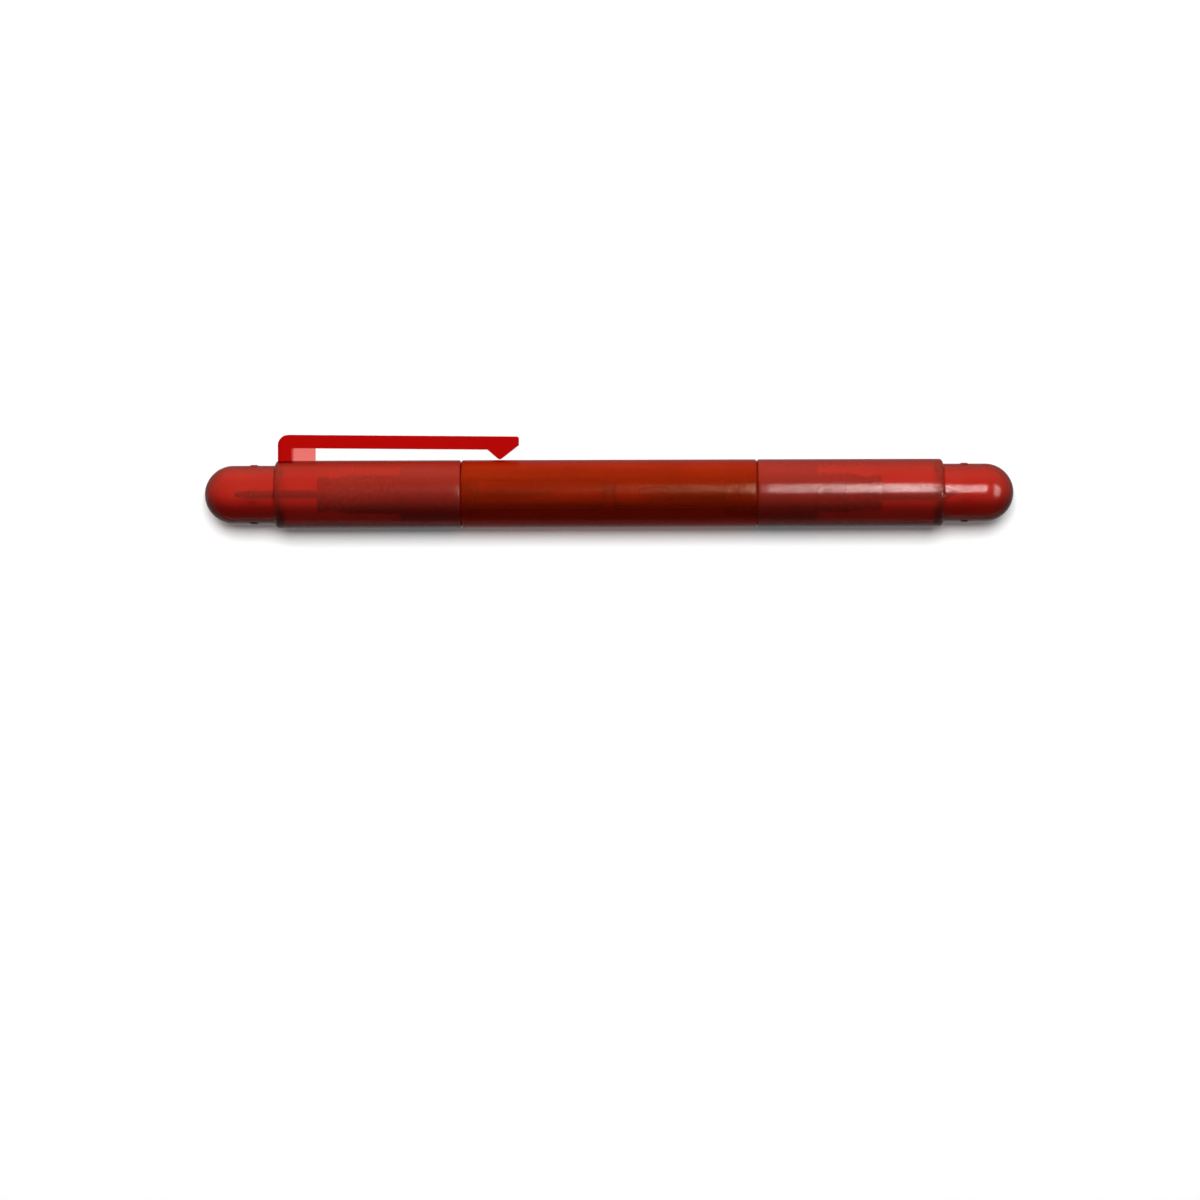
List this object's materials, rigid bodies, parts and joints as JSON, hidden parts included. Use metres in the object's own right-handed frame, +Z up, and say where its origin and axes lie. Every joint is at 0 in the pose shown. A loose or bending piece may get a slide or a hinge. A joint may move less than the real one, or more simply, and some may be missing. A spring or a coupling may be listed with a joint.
{
  "type": "pocket screwdriver",
  "caption": "Pen-shaped pocket screwdriver: a translucent barrel stores double-ended driver bits in hexagonal sockets under push-on caps, one with a springy pocket clip.",
  "frame": {"origin": "on the surface that the closed pen lies on, under the middle of its box, with the pen rolled onto the edge of its clip as it comes to rest", "axes": "+X along the pen towards the plain cap, +Z up, +Y across the pen to the side that its clip rests on"},
  "size_m": [0.14, 0.0162, 0.0117],
  "materials": {
    "barrel_plastic": "translucent, moulded, gloss",
    "cap_plastic": "translucent, moulded, gloss",
    "clip_plastic": "translucent, moulded, gloss",
    "handle_plastic": "translucent, moulded, knurled flats",
    "nickel_steel": "nickel plated, ground tips"
  },
  "bodies": {
    "barrel": {"barrel": "barrel_plastic"},
    "small_bit": {"small_bit_handle": "handle_plastic", "small_bit_rod": "nickel_steel"},
    "clip_cap": {"clip_cap": "cap_plastic", "clip_post": "clip_plastic"},
    "pocket_clip": {"pocket_clip": "clip_plastic"},
    "large_bit": {"large_bit_handle": "handle_plastic", "large_bit_rod": "nickel_steel"},
    "plain_cap": {"plain_cap": "cap_plastic"}
  },
  "joints": [
    {"name": "small_bit_pull", "type": "slide", "parent": "barrel", "child": "small_bit", "axis": [-1, 0, 0], "range_m": [0, 0.04]},
    {"name": "clip_cap_pull", "type": "slide", "parent": "small_bit", "child": "clip_cap", "axis": [-1, 0, 0], "range_m": [0, 0.05]},
    {"name": "clip_flex", "type": "hinge", "parent": "clip_cap", "child": "pocket_clip", "pos_m": [-0.04959, 0.00624, 0.00251], "axis": [0, 0.3642, 0.9313], "range_deg": [0, 4], "stiffness_Nm_per_rad": 0.85},
    {"name": "large_bit_pull", "type": "slide", "parent": "barrel", "child": "large_bit", "axis": [1, 0, 0], "range_m": [0, 0.04]},
    {"name": "plain_cap_pull", "type": "slide", "parent": "large_bit", "child": "plain_cap", "axis": [1, 0, 0], "range_m": [0, 0.05]}
  ]
}
